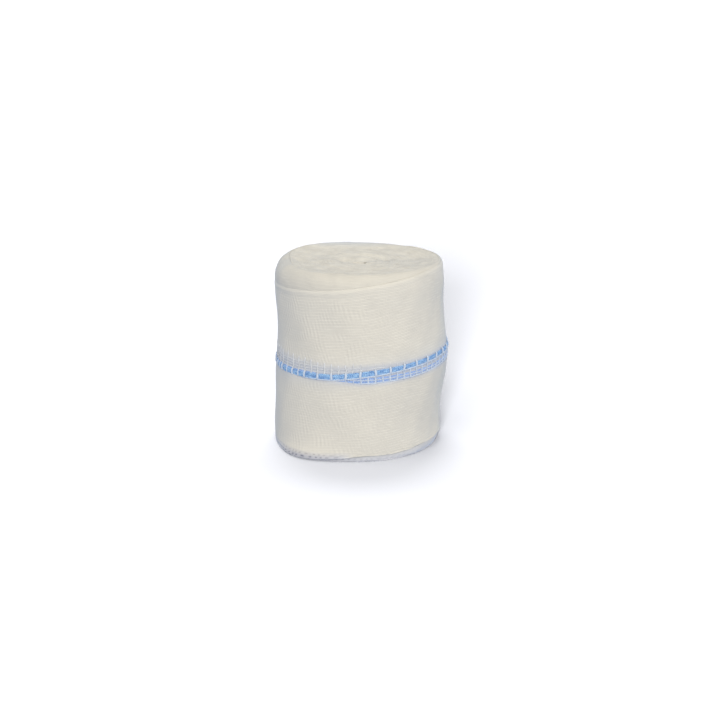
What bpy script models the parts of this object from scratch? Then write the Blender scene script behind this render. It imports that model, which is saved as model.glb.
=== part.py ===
"""Gauze bandage roll: a knitted gauze tube pressed flat, wound up and standing on one end.

One closed solid holds the wound form. Its sections are lofted round the winding axis, and
each section runs from the middle of the base, out along the lower end, up the wall and back
in along the upper end. The wall carries the last turn, which has slipped up to one side, so
its two edges and its cut end stand out from the turn under it. The ends carry the main
twists as spiral ridges. Sizes are in metres, +Z is up, and the front is at -Y.
"""

import math

import bmesh
import bpy
import numpy as np

MM = 0.001

# Driving sizes
ROLL_HEIGHT = 75.0 * MM          # flat width of the bandage, which is the roll's height
TURN_THICKNESS = 0.8 * MM        # one turn of the pressed tube
CREST_DROP = 0.5 * MM            # how far the crest sinks on its low side
SHOULDER_HEIGHT = 68.0 * MM      # where the turns under the last one start to round inwards
SHOULDER_RISE = 2.8 * MM         # how much higher that is on the high side
HIGH_SIDE = math.radians(150.0)  # the turns have slipped up towards the back right
FOOT_INSET = 0.4 * MM            # rounding between the base and the wall
EDGE_ROUND = 0.3 * MM            # rounding of the last turn's edges
SEAM_GAP = 0.15 * MM             # the last turn's upper edge stands off by twice this

# The last turn runs counterclockwise seen from above and ends at the back right.
CUT_END = math.radians(135.0)    # turned from the front towards the right
CUT_STEP = math.radians(0.8)     # width of the step at the cut end

# The two ends
TWIST_PITCH = 6.0 * MM           # radial distance between the main twists
TOP_TWIST = 0.75 * MM            # height of the twists on the upper end
TOP_SINK = 1.6 * MM              # how far the middle of the upper end sinks
BASE_GROOVE = 1.1 * MM           # depth of the grooves between the twists on the base
BASE_DISC = 6.5 * MM             # flat middle of the base
BASE_RING = 23.0 * MM            # the base is flat outside this radius

# The lower edge spreads on the floor at the front left.
FLARE = 4.9 * MM
FLARE_AT = math.radians(-39.0)
FLARE_WIDTH = math.radians(24.0)
FLARE_HEIGHT = 4.0 * MM

# How finely the solid is faceted
ANGLE_STEPS = 78
END_STEPS = 18
WALL_STEPS = 13
SHOULDER_STEPS = 4

# Radius of the wall by height, on four sides, in millimetres.
WALL_COLUMNS = ("height", "left", "front", "right", "back")
WALL = (
    (0.0, 34.9, 33.8, 33.4, 33.7),
    (4.0, 35.0, 34.0, 33.2, 33.8),
    (9.0, 35.0, 34.2, 32.8, 33.9),
    (15.0, 34.8, 34.4, 33.1, 34.1),
    (22.0, 34.5, 34.7, 33.8, 34.3),
    (30.0, 34.1, 34.8, 34.9, 34.4),
    (36.0, 33.8, 34.8, 35.6, 34.5),
    (44.0, 33.4, 34.5, 34.9, 34.3),
    (52.0, 33.6, 34.3, 34.1, 34.1),
    (60.0, 34.1, 34.3, 33.6, 34.1),
    (67.0, 34.5, 34.4, 33.8, 34.2),
    (75.0, 34.5, 34.2, 32.9, 33.9),
)

# Lower and upper edge of the last turn, by angle from the front towards the right, in
# degrees and millimetres. The rows run from the start of the last turn to its cut end.
EDGE_COLUMNS = ("angle", "lower", "upper")
EDGES = (
    (-225.0, 0.5, 70.4),
    (-170.0, 0.4, 69.4),
    (-110.0, 0.4, 68.0),
    (-60.0, 0.5, 67.7),
    (-25.0, 0.9, 68.4),
    (0.0, 2.2, 70.0),
    (25.0, 3.1, 71.9),
    (50.0, 4.5, 73.6),
    (80.0, 5.4, 74.0),
    (135.0, 6.2, 73.0),
)

# Radius of the crest, the highest ring of the upper end, along the last turn in the same way.
CREST_COLUMNS = ("angle", "radius")
CREST = (
    (-225.0, 29.2),
    (-180.0, 29.8),
    (-150.0, 32.1),
    (-120.0, 31.1),
    (-90.0, 28.2),
    (-50.0, 29.5),
    (0.0, 29.6),
    (45.0, 30.5),
    (90.0, 31.8),
    (135.0, 29.2),
)

COTTON = (0.80, 0.78, 0.70, 1.0)  # cream of the undyed yarn


def column(rows, names, name):
    """One named column of a table as an array."""
    return np.array([row[names.index(name)] for row in rows])


def smooth_read(at, places, values):
    """A table's value at a place, eased between rows, so that no row leaves a corner."""
    at = np.clip(at, places[0], places[-1])
    row = np.clip(np.searchsorted(places, at) - 1, 0, len(places) - 2)
    slopes = np.gradient(values, places)
    gap = places[row + 1] - places[row]
    t = (at - places[row]) / gap
    return (
        (2 * t**3 - 3 * t**2 + 1) * values[row]
        + (t**3 - 2 * t**2 + t) * gap * slopes[row]
        + (3 * t**2 - 2 * t**3) * values[row + 1]
        + (t**3 - t**2) * gap * slopes[row + 1]
    )


def turn_share(angle):
    """0 where the last turn starts, just past the cut end, and 1 at the cut end."""
    return ((angle - CUT_END) % math.tau) / math.tau


def winding_angle(angle):
    """The same angle, written on the stretch that the last turn covers."""
    return CUT_END - math.tau + turn_share(angle) * math.tau


def read_round(rows, names, name, angle):
    """A column of a table whose rows run round the roll, at one angle and in metres."""
    at = np.array(math.degrees(winding_angle(angle)))
    return float(smooth_read(at, column(rows, names, "angle"), column(rows, names, name))) * MM


def edge_heights(angle):
    """Heights of the last turn's lower and upper edge."""
    return [read_round(EDGES, EDGE_COLUMNS, name, angle) for name in ("lower", "upper")]


def flare(angle, height):
    """How far the lower edge spreads on the floor."""
    away = (angle - FLARE_AT + math.pi) % math.tau - math.pi
    return FLARE * math.exp(-((away / FLARE_WIDTH) ** 2)) * np.exp(-height / FLARE_HEIGHT)


def outer_radius(angle, height):
    """Outside of the last turn: the four sides blended round, plus the growth of one turn."""
    height = np.asarray(height, float)
    places = column(WALL, WALL_COLUMNS, "height") * MM
    left, front, right, back = (
        smooth_read(height, places, column(WALL, WALL_COLUMNS, side)) * MM
        for side in ("left", "front", "right", "back")
    )
    middle = (left + front + right + back) / 4
    blended = (
        middle
        + (right - left) / 2 * math.sin(angle)
        + (front - back) / 2 * math.cos(angle)
        + (front + back - left - right) / 4 * math.cos(2 * angle)
    )
    return blended + TURN_THICKNESS * (turn_share(angle) - 0.6) + flare(angle, height)


def spiral(radius, angle):
    """1 on a twist and -1 between two: the phase turns once a pitch and once a turn."""
    return np.cos(math.tau * radius / TWIST_PITCH - angle)


def eased(share):
    """0 below 0, 1 above 1, and a smooth rise between."""
    share = np.clip(share, 0, 1)
    return share * share * (3 - 2 * share)


def base_height(radius, angle):
    """Lower end: wide grooves between twists whose tops the floor has pressed flat."""
    inside = eased((radius - BASE_DISC) / (4 * MM))
    outside = eased((BASE_RING - radius) / (4 * MM))
    return BASE_GROOVE * eased((0.5 - spiral(radius, angle)) / 1.5) * inside * outside


def high_share(angle):
    """1 on the side that the turns have slipped up to, and 0 opposite."""
    return (1 + math.cos(angle - HIGH_SIDE)) / 2


def crest_height(angle):
    """Highest ring of the upper end, a little lower at the front left."""
    return ROLL_HEIGHT - CREST_DROP * (1 - high_share(angle))


def crest_radius(angle):
    """The crest is uneven: it reaches furthest out at the back left and at the right."""
    return read_round(CREST, CREST_COLUMNS, "radius", angle)


def top_height(radius, angle):
    """Upper end: a shallow sink towards the middle, twists on it, and two soft lumps."""
    inward = np.clip(1 - radius / crest_radius(angle), 0, 1)
    sink = TOP_SINK * np.sin(np.minimum(inward * 2.2, 1) * math.pi / 2)
    twist = TOP_TWIST * (spiral(radius, angle) - 1) / 2 * np.minimum(inward * 5, 1)
    lumps = 0.5 * MM * np.sin(2 * angle + 0.7) * np.sin(inward * math.pi)
    return crest_height(angle) - sink + twist + lumps * inward


def section(angle):
    """Outline of the roll at one angle, as radii and heights from base to upper end."""
    lower, upper = edge_heights(angle)
    shoulder = SHOULDER_HEIGHT + SHOULDER_RISE * high_share(angle)
    crest = crest_radius(angle)
    at_lower, at_shoulder, at_upper = outer_radius(angle, [lower, shoulder, upper])
    foot = at_lower - TURN_THICKNESS - FOOT_INSET
    under = at_shoulder - TURN_THICKNESS

    shares = np.arange(1, END_STEPS + 1) / END_STEPS
    base = np.append(BASE_RING * shares, (BASE_RING + foot) / 2)
    outline = [(base, base_height(base, angle))]
    outline.append(([foot, foot + FOOT_INSET * 0.7], [0, lower * 0.4]))

    outline.append(([at_lower - EDGE_ROUND], [lower]))
    heights = np.linspace(lower + EDGE_ROUND, upper - EDGE_ROUND, WALL_STEPS)
    outline.append((outer_radius(angle, heights), heights))
    outline.append(([at_upper - EDGE_ROUND], [upper]))

    outline.append(([under + SEAM_GAP], [upper - SEAM_GAP]))
    turned = np.linspace(0, math.pi / 2, SHOULDER_STEPS + 1)
    reach = under - SEAM_GAP - crest
    rise = crest_height(angle) - shoulder
    outline.append((crest + reach * np.cos(turned), shoulder + rise * np.sin(turned)))
    inner = crest * shares[-2::-1]
    outline.append((inner, top_height(inner, angle)))
    return (
        np.concatenate([np.asarray(radii, float) for radii, _ in outline]),
        np.concatenate([np.asarray(heights, float) for _, heights in outline]),
    )


def section_angles():
    """Even angles round the roll, with the cut end as two of them a small step apart."""
    start = CUT_END + CUT_STEP
    return start + np.linspace(0, math.tau - CUT_STEP, ANGLE_STEPS) - math.tau


def roll_mesh():
    """Joins the sections into one closed mesh with a point at the middle of each end."""
    model = bmesh.new()
    rings = []
    for angle in section_angles():
        radii, heights = section(angle)
        xs = radii * math.sin(angle)
        ys = -radii * math.cos(angle)
        rings.append([model.verts.new(point) for point in zip(xs, ys, heights)])
    base_middle = model.verts.new((0, 0, 0))
    top_middle = model.verts.new((0, 0, float(top_height(np.array(0.0), 0.0))))

    for ring, after in zip(rings, rings[1:] + rings[:1]):
        model.faces.new((base_middle, after[0], ring[0]))
        for low in range(len(ring) - 1):
            model.faces.new((ring[low], after[low], after[low + 1], ring[low + 1]))
        model.faces.new((ring[-1], after[-1], top_middle))
    bmesh.ops.triangulate(model, faces=model.faces, quad_method="SHORT_EDGE")
    mesh = bpy.data.meshes.new("bandage_roll")
    model.to_mesh(mesh)
    model.free()
    return mesh


def cotton():
    """Soft matt cotton."""
    material = bpy.data.materials.new("cotton")
    material.use_nodes = True
    shader = material.node_tree.nodes["Principled BSDF"]
    shader.inputs["Base Color"].default_value = COTTON
    shader.inputs["Roughness"].default_value = 0.9
    shader.inputs["Metallic"].default_value = 0.0
    material.diffuse_color = COTTON
    return material


def main():
    for thing in list(bpy.data.objects):
        bpy.data.objects.remove(thing, do_unlink=True)
    mesh = roll_mesh()
    mesh.shade_smooth()
    mesh.set_sharp_from_angle(angle=math.radians(40.0))
    mesh.materials.append(cotton())
    bpy.context.scene.collection.objects.link(bpy.data.objects.new("bandage_roll", mesh))


main()
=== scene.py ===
"""Gauze bandage roll: the wound cloth, its marker line and a plain studio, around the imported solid.

The bandage is a knitted tube pressed flat. Its turns are closed rings of cloth swept along a
spiral: the inner turns, the turn that curls over the shoulder, and the last turn, whose open
ladder band carries the blue marker yarn. Everything is in metres in the solid's frame.
"""

import math

import bpy
import numpy as np
from bpy.props import FloatProperty, FloatVectorProperty, IntProperty, PointerProperty
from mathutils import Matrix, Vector


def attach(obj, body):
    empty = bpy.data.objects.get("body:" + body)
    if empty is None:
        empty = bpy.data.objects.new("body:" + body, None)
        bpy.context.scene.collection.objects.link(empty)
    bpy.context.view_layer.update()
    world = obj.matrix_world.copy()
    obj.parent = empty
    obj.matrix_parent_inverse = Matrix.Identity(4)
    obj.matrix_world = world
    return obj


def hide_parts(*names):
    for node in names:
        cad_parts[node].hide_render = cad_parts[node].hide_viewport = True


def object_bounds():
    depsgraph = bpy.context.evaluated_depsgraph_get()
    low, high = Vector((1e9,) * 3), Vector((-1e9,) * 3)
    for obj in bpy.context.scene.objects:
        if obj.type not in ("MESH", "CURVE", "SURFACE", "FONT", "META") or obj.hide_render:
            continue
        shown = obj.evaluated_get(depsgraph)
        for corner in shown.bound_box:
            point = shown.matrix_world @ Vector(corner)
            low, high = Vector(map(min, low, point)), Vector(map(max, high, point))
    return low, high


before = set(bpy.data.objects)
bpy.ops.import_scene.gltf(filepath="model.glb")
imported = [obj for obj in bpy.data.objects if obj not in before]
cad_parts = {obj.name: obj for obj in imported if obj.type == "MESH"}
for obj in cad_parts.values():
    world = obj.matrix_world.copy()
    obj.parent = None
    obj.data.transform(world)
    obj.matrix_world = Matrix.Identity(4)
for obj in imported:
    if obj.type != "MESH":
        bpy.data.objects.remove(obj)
CAD_LOW, CAD_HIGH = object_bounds()

bl_info = {
    "name": "Gauze Bandage Roll",
    "version": (1, 0, 0),
    "blender": (4, 5, 0),
    "location": "3D View > Sidebar > Bandage",
    "description": "Builds a wound tubular gauze bandage with a marker line, and a plain studio",
    "category": "Add Mesh",
}

MM = 0.001
TAU = math.tau
NODE = "bandage_roll"
BODY = "root"

# The winding
TURNS = 42                       # turns from the core to the cut end
MEAN_RADIUS = 34.2 * MM          # outside of the last turn, on average
GROWTH_AT = 0.4                  # share of a turn by which the cut end lies outside that
CUT_END = math.radians(135.0)    # the cut end, turned from the front towards the right
OVERLAP = 0.04                   # the last turn starts this far under its own end, in turns
LAST_START = TURNS - 1 - OVERLAP
UNDER_START = TURNS - 2.1

# The ends
ROLL_HEIGHT = CAD_HIGH.z
CREST_DROP = 0.5 * MM
SHOULDER_HEIGHT = 66.8 * MM
SHOULDER_RISE = 4.0 * MM
HIGH_SIDE = math.radians(150.0)
TOP_SINK = 1.6 * MM
CORE_AXIS = math.radians(70.0)   # the long way of the flat first fold
CORE_HALF = 2.4 * MM             # half the length by which the core is longer than wide
CORE_FADE = 13.0 * MM            # the turns are round outside about this radius

# The lower edge spreads on the floor at the front left.
FLARE = 4.9 * MM
FLARE_AT = math.radians(-39.0)
FLARE_WIDTH = math.radians(24.0)
FLARE_HEIGHT = 4.0 * MM

# The foot of the last turns, and the place where the last turn's upper edge lies on the others
FOOT_INSET = 0.8 * MM            # how far the foot draws in: twice this on the right, else 0.3
FOOT_RISE = 2.4 * MM             # height from which it does, by the same factors
BULGE = 0.64 * MM                # how far the turn under the last one swells above that edge
BULGE_RAMP = 1.2 * MM            # height over which the swelling grows
BULGE_LEAD = 1.15                # share of that height by which it starts below the edge
RIDGE = 0.08 * MM                # how far the last turn stands out below its upper fold
EDGE_THIN = 0.45                 # share of its thickness that the last turn loses at the fold
LEAN = 0.5                       # share of the shoulder's curl that the last turn follows
SLIP_TURNS = 0.16                # the last turn slips down from the crest within these turns
SEAM_TURNS = 0.02                # what only the turn under it has fades out within these turns
PUCKER = 0.16 * MM               # height of the soft puckers of the outer faces
PUCKER_CALM = 2.6 * MM           # they fade this near to that edge

# The knit
CROSSING_STEP = math.radians(9.5)    # a white crossing thread every so far round the roll
CROSSING_AT = math.radians(1.0)
CROSSING_WARP = math.radians(8.2)    # the threads stand further apart on the left, by this in all
HALF_CROSSINGS = math.radians(-42.0) # left of here a crossing thread stands at each half step too
WIDTH = 75.0 * MM                    # the tube pressed flat
MARKER_PLY = 0.9 * MM                # length of a ply of the blue yarn
THREAD_PLY = 0.5 * MM                # and of the white threads
TROUGH = 0.14 * MM                   # how deep the open ladder band lies
GHOST_FROM = math.radians(-12.0)     # from here on the marker line below shows through it
LOOPS_RISE = 2.8 * MM                # height of the strip of open loops at the foot

# Radius of the wall by height, on four sides, in millimetres.
WALL_COLUMNS = ("height", "left", "front", "right", "back")
WALL = (
    (0.0, 34.6, 33.8, 33.4, 33.7),
    (4.0, 34.7, 34.0, 33.2, 33.8),
    (9.0, 34.7, 34.2, 32.8, 33.9),
    (15.0, 34.5, 34.4, 33.1, 34.1),
    (22.0, 34.2, 34.7, 33.8, 34.3),
    (30.0, 33.8, 34.8, 34.9, 34.4),
    (36.0, 33.4, 34.8, 35.6, 34.5),
    (44.0, 33.1, 34.5, 34.9, 34.3),
    (52.0, 33.2, 34.3, 34.1, 34.1),
    (60.0, 33.6, 34.3, 33.6, 34.1),
    (67.0, 34.0, 34.4, 33.8, 34.2),
    (75.0, 34.0, 34.2, 32.9, 33.9),
)

# The last turn by angle from the front towards the right, in degrees and millimetres, from its
# start to the cut end: its lower edge, marker line and upper edge, the marker line of the turn
# under it, and how far the open ladder band shows above and below the marker line.
LAST_COLUMNS = ("angle", "lower", "marker", "upper", "under", "above", "below")
LAST = (
    (-225.0, 0.5, 35.2, 70.4, 35.2, 3.0, 3.0),
    (-170.0, 0.4, 34.8, 69.4, 35.0, 4.0, 1.6),
    (-110.0, 0.4, 34.0, 67.2, 34.6, 6.0, 1.2),
    (-85.0, 0.4, 33.9, 66.6, 34.4, 7.0, 1.2),
    (-60.0, 0.5, 33.6, 66.9, 34.1, 7.0, 1.2),
    (-35.0, 0.7, 34.1, 67.9, 34.5, 5.8, 1.4),
    (-15.0, 1.3, 34.8, 68.9, 34.2, 4.6, 2.4),
    (0.0, 2.2, 36.0, 70.0, 33.8, 3.8, 4.2),
    (25.0, 2.6, 37.8, 71.9, 34.6, 2.2, 5.3),
    (50.0, 3.8, 39.2, 73.6, 35.6, 1.4, 5.6),
    (65.0, 4.2, 39.8, 74.0, 36.3, 1.4, 5.6),
    (80.0, 4.7, 39.8, 74.0, 36.6, 1.4, 5.6),
    (135.0, 5.6, 39.9, 73.0, 36.3, 2.0, 5.6),
)

# Radius of the crest, the highest ring of the upper end, by angle in the same way.
CREST_COLUMNS = ("angle", "radius")
CREST = (
    (-225.0, 29.2),
    (-180.0, 29.8),
    (-150.0, 32.1),
    (-120.0, 31.1),
    (-90.0, 27.6),
    (-50.0, 29.5),
    (0.0, 29.6),
    (45.0, 30.5),
    (90.0, 31.8),
    (135.0, 29.2),
)

# Suns that light the floor alone. They only shape the soft shadow of the roll, which falls
# below it and to its right. Turned from the front towards the right, raised and spread in
# degrees.
FLOOR_SUNS = (
    ("floor_front_shadow", 4.5, -179, 66, 24),
    ("floor_right_shadow", 2.65, -20, 50, 24),
    ("floor_side_shadow", 19.1, -7, 13, 9),
    ("floor_foot_shadow", 1.05, -80, 78, 24),
)
FLOOR_SUN_TINT = (1.0, 0.985, 0.95)
FLOOR_COLOUR = (0.231, 0.2375, 0.260, 1.0)
FLOOR_REACH = 30.0
KEY_TINT = (1.0, 0.94, 0.82)
SKY_BEHIND = (0.52, 0.67, 0.97, 1.0)
SKY_IN_FRONT = (1.0, 0.97, 0.90, 1.0)
SHEEN_TINT = (0.42, 0.66, 1.0, 1.0)
CAMERA_TARGET = (0.35 * MM, 0, 32.03 * MM)

# Lumps and hollows of the upper end: x, y, spread and height in millimetres.
LUMPS = (
    (-12.1, 3.2, 5.0, 0.8),
    (-4.5, 11.9, 5.5, 0.9),
    (5.6, 11.9, 5.5, 0.6),
    (16.4, -12.5, 6.5, 0.8),
    (-7.6, -5.2, 6.5, 0.6),
    (-24.1, 0.4, 4.5, -0.9),
    (-2.5, 0.4, 4.0, -0.9),
    (9.6, 5.1, 4.5, -0.8),
    (23.8, 6.1, 5.0, -0.9),
)


# ---------------------------------------------------------------- settings

def length(name, description, default):
    return FloatProperty(
        name=name, description=description, default=default, min=0.0, unit="LENGTH",
        subtype="DISTANCE", precision=5,
    )


def colour(name, description, default):
    return FloatVectorProperty(
        name=name, description=description, default=default, size=3, min=0.0, max=1.0,
        subtype="COLOR",
    )


class BandageSizes(bpy.types.PropertyGroup):
    """Sizes of the cloth and its yarns."""

    pitch: length("Turn pitch", "Distance from one turn to the next", 0.8 * MM)
    thickness: length("Turn thickness", "Thickness of the pressed tube", 0.72 * MM)
    row: length("Row pitch", "Distance between rows of stitches", 1.07 * MM)
    course: length("Course pitch", "Distance between stitches along a row", 1.0 * MM)
    row_relief: length("Row relief", "How far a row stands up", 0.02 * MM)
    strand: length("Marker strand", "Thickness of one strand of the marker yarn", 0.52 * MM)
    crossing: length("Crossing thread", "Width of a thread over the marker", 1.02 * MM)
    ladder: length("Ladder thread", "Width of a ladder thread", 0.50 * MM)
    fine: length("Fine thread", "Width of a thread along the band", 0.32 * MM)
    last_steps: IntProperty(
        name="Last turn steps", description="Steps round the last turn", default=280, min=36
    )


class BandageColours(bpy.types.PropertyGroup):
    """Colours of the yarns."""

    cotton: colour("Cotton", "Undyed cream yarn", (0.752, 0.734, 0.686))
    # Painted shade: the cream where it lies deep between the rows, and low on the wall.
    shade: colour("Between rows", "Cream yarn deep between the rows", (0.608, 0.592, 0.558))
    # Painted shade: the cloth seen deep in the open ladder band.
    open_band_shade: colour("Open band", "Cloth seen deep in the ladder band", (0.51, 0.55, 0.65))
    # Painted light: a greyer blue that the marker yarn throws on the cloth round it.
    haze: colour("Band haze", "Blue that the marker yarn throws on the cloth", (0.54, 0.585, 0.67))
    # Painted shade: a cool grey on the far rim of the top.
    far_rim_shade: colour("Far rim", "Cloth at the far rim of the top", (0.56, 0.60, 0.67))
    marker: colour("Marker yarn", "Blue marker yarn", (0.38, 0.62, 0.93))
    # Painted shade between the plies of the blue yarn.
    marker_ply_shade: colour("Marker shade", "Blue yarn between its plies", (0.115, 0.26, 0.60))
    under_marker: colour("Under marker", "Blue yarn seen through the band", (0.40, 0.56, 0.92))
    # Painted shade between the plies of the blue yarn below.
    under_ply_shade: colour("Under marker shade", "The same yarn between its plies", (0.26, 0.40, 0.74))
    crossing: colour("Crossing yarn", "White thread over the marker", (0.70, 0.81, 1.0))
    ladder: colour("Ladder yarn", "Thread that crosses the open band", (0.80, 0.83, 0.89))
    # Painted shade: the open loops of the foot, greyer and bluer than the cream.
    loops: colour("Foot loops", "Open loops of the lower edge", (0.685, 0.707, 0.775))
    # Painted shadow in the gaps between those loops.
    loop_gap_shadow: colour("Loop gaps", "Dark gaps between those loops", (0.11, 0.12, 0.21))


class BandageStudio(bpy.types.PropertyGroup):
    """Camera and light."""

    distance: length("Camera distance", "From the camera to its target", 600.0 * MM)
    elevation: FloatProperty(
        name="Camera elevation", description="Camera angle above the horizon",
        default=math.radians(16.2), unit="ROTATION", subtype="ANGLE",
    )
    lens: FloatProperty(name="Lens", description="Focal length in millimetres", default=73.6)
    sky: FloatProperty(name="Sky", description="Strength of the light from above", default=1.08)
    key: FloatProperty(name="Key light", description="Strength of the key light", default=1.30)


# ---------------------------------------------------------------- the winding in numbers

def column(rows, names, name):
    """One named column of a table as an array."""
    return np.array([row[names.index(name)] for row in rows])


def smooth_read(at, places, values):
    """A table's value at a place, by cubic pieces whose slopes match from row to row."""
    at = np.clip(at, places[0], places[-1])
    row = np.clip(np.searchsorted(places, at) - 1, 0, len(places) - 2)
    slopes = np.gradient(values, places)
    gap = places[row + 1] - places[row]
    t = (at - places[row]) / gap
    return (
        (2 * t**3 - 3 * t**2 + 1) * values[row]
        + (t**3 - 2 * t**2 + t) * gap * slopes[row]
        + (3 * t**2 - 2 * t**3) * values[row + 1]
        + (t**3 - t**2) * gap * slopes[row + 1]
    )


def eased(share):
    """0 below 0, 1 above 1, and 3x^2 - 2x^3 between."""
    share = np.clip(share, 0, 1)
    return share * share * (3 - 2 * share)


def waves(seed, count, shortest, longest, *places):
    """Smooth noise between about -1 and 1: a sum of sines of random direction, wavelength
    between the two given and phase, read at places that may have one or more axes."""
    random = np.random.default_rng(seed)
    total = 0.0
    for _ in range(count):
        wavelength = shortest * (longest / shortest) ** random.random()
        way = random.normal(size=len(places))
        way /= np.linalg.norm(way)
        phase = TAU * random.random()
        along = sum(share * place for share, place in zip(way, places))
        total = total + np.sin(TAU * along / wavelength + phase)
    return total / math.sqrt(count)


def angle_of(turn):
    """Direction of a place on the winding: one full circle a turn, ending at the cut end."""
    return CUT_END - TAU * (TURNS - turn)


def last_table(turn, name):
    """A column of the last turn's table, in metres, at a place on the winding."""
    places = column(LAST, LAST_COLUMNS, "angle")
    at = np.degrees(angle_of(np.asarray(turn, float)))
    return smooth_read(at, places, column(LAST, LAST_COLUMNS, name)) * MM


def high_share(angle):
    """1 on the side that the turns have slipped up to, and 0 opposite."""
    return (1 + np.cos(angle - HIGH_SIDE)) / 2


def crest_height(angle):
    return ROLL_HEIGHT - CREST_DROP * (1 - high_share(angle))


def crest_radius(angle):
    """The crest's radius from its table, read on the stretch that the last turn covers."""
    places = column(CREST, CREST_COLUMNS, "angle")
    at = (np.degrees(angle) - places[0]) % 360 + places[0]
    return smooth_read(at, places, column(CREST, CREST_COLUMNS, "radius")) * MM


def shoulder_height(angle):
    return SHOULDER_HEIGHT + SHOULDER_RISE * high_share(angle)


def wall_radius(angle, height):
    """Outside of the wall: the four sides of the table blended round by the first and second
    harmonic of the angle, so that each side's own value holds where it faces."""
    places = column(WALL, WALL_COLUMNS, "height") * MM
    left, front, right, back = (
        smooth_read(height, places, column(WALL, WALL_COLUMNS, side)) * MM
        for side in ("left", "front", "right", "back")
    )
    return (
        (left + front + right + back) / 4
        + (right - left) / 2 * np.sin(angle)
        + (front - back) / 2 * np.cos(angle)
        + (front + back - left - right) / 4 * np.cos(2 * angle)
    )


def flare(angle, height):
    """How far the lower edge spreads: a bell round one angle that dies away upwards."""
    away = (angle - FLARE_AT + math.pi) % TAU - math.pi
    return FLARE * np.exp(-((away / FLARE_WIDTH) ** 2)) * np.exp(-height / FLARE_HEIGHT)


def foot_inset(angle, height):
    """How far the foot draws in, by a square law of the height: mostly on the right."""
    more = 0.3 + 1.7 * np.clip(np.sin(angle), 0, 1) ** 2
    return FOOT_INSET * more * np.clip(1 - height / (FOOT_RISE * more), 0, 1) ** 2


def cloth_radius(turn, height, sizes):
    """Middle of the cloth of an outer turn going straight up: the wall's shape, less marked
    further in, drawn in by one pitch a turn, and at the foot where it does not spread."""
    inward = TURNS - turn
    angle = angle_of(turn)
    shape = (wall_radius(angle, height) - MEAN_RADIUS) * np.exp(-inward / 10)
    spread = flare(angle, height) * np.exp(-np.maximum(inward - 1, 0) / 0.8)
    foot = foot_inset(angle, height) * (1 - spread / FLARE)
    return (
        MEAN_RADIUS + shape + spread - foot
        + sizes.pitch * (GROWTH_AT - inward) - sizes.thickness / 2
    )


def wrapped_share(turn):
    """1 while the cloth reaches the crest, and 0 once the last turn has slipped down."""
    return 1 - eased((turn - LAST_START) / SLIP_TURNS)


def under_share(turn):
    """1 on the turn under the last one, and 0 from where the last turn starts."""
    return 1 - eased((turn - LAST_START) / SEAM_TURNS + 1)


def shoulder_arc(turn, sizes):
    """Reach inwards, rise and length of the quarter ellipse from the wall to the crest. The
    turn under the last starts one thickness lower, as it passes under the last one there."""
    angle = angle_of(turn)
    start = shoulder_height(angle)
    reach = cloth_radius(turn, start, sizes) - crest_radius(angle)
    below = sizes.thickness * (1 - eased((turn - UNDER_START - 0.1) / 0.25))
    rise = crest_height(angle) - sizes.thickness / 2 - below - start
    return reach, rise, math.pi / 2 * np.sqrt((reach**2 + rise**2) / 2)


def upper_edge(turn, sizes):
    """Length of cloth up to the upper edge: all of the arc, or the last turn's own height."""
    wrapped = wrapped_share(turn)
    full = shoulder_height(angle_of(turn)) + shoulder_arc(turn, sizes)[2]
    return last_table(turn, "upper") * (1 - wrapped) + full * wrapped


def cloth_path(turn, height, sizes):
    """Radius and height of the middle of the cloth, at a distance up its width. It is
    straight up the wall and, where the cloth curls, a quarter ellipse to the crest. The turn
    under the last bulges where it comes out of it."""
    angle = angle_of(turn)
    start = shoulder_height(angle)
    reach, rise, arc = shoulder_arc(turn, sizes)
    free = eased((height - upper_edge(turn + 1, sizes)) / BULGE_RAMP + BULGE_LEAD)
    bulge = BULGE * free * under_share(turn)
    straight = cloth_radius(turn, height, sizes) + bulge
    turned = np.clip((height - start) / arc, 0, 1.1) * math.pi / 2
    curl = np.where(height > start, LEAN + (1 - LEAN) * wrapped_share(turn), 0.0)
    curled_radius = crest_radius(angle) + (reach + bulge) * np.cos(turned)
    curled_height = start + rise * np.sin(turned)
    return (
        straight + (curled_radius - straight) * curl,
        height + (curled_height - height) * curl,
    )


def cloth_frame(turn, height, sizes):
    """Middle of the cloth, and its outward normal and upward tangent, as radius and height."""
    step = 0.05 * MM
    radius, rise = cloth_path(turn, height, sizes)
    radius_up, rise_up = cloth_path(turn, height + step, sizes)
    radius_down, rise_down = cloth_path(turn, height - step, sizes)
    tangent = np.stack([radius_up - radius_down, rise_up - rise_down], axis=-1)
    tangent /= np.linalg.norm(tangent, axis=-1, keepdims=True)
    normal = np.stack([tangent[..., 1], -tangent[..., 0]], axis=-1)
    return np.stack([radius, rise], axis=-1), normal, tangent


def around(angle, radius_and_height):
    """Points in space from radius and height, the angle counted from -Y towards +X."""
    radius, height = radius_and_height[..., 0], radius_and_height[..., 1]
    return np.stack([radius * np.sin(angle), -radius * np.cos(angle), height], axis=-1)


def on_last_turn(turn, height, lift, sizes):
    """Points that stand off the outer face of an outer turn, and the face's normals there."""
    place, normal, _ = cloth_frame(turn, height, sizes)
    angle = angle_of(turn)
    lifted = place + normal * (sizes.thickness / 2 + lift)[..., None]
    return around(angle, lifted), around(angle, normal)


# ---------------------------------------------------------------- meshes

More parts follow.
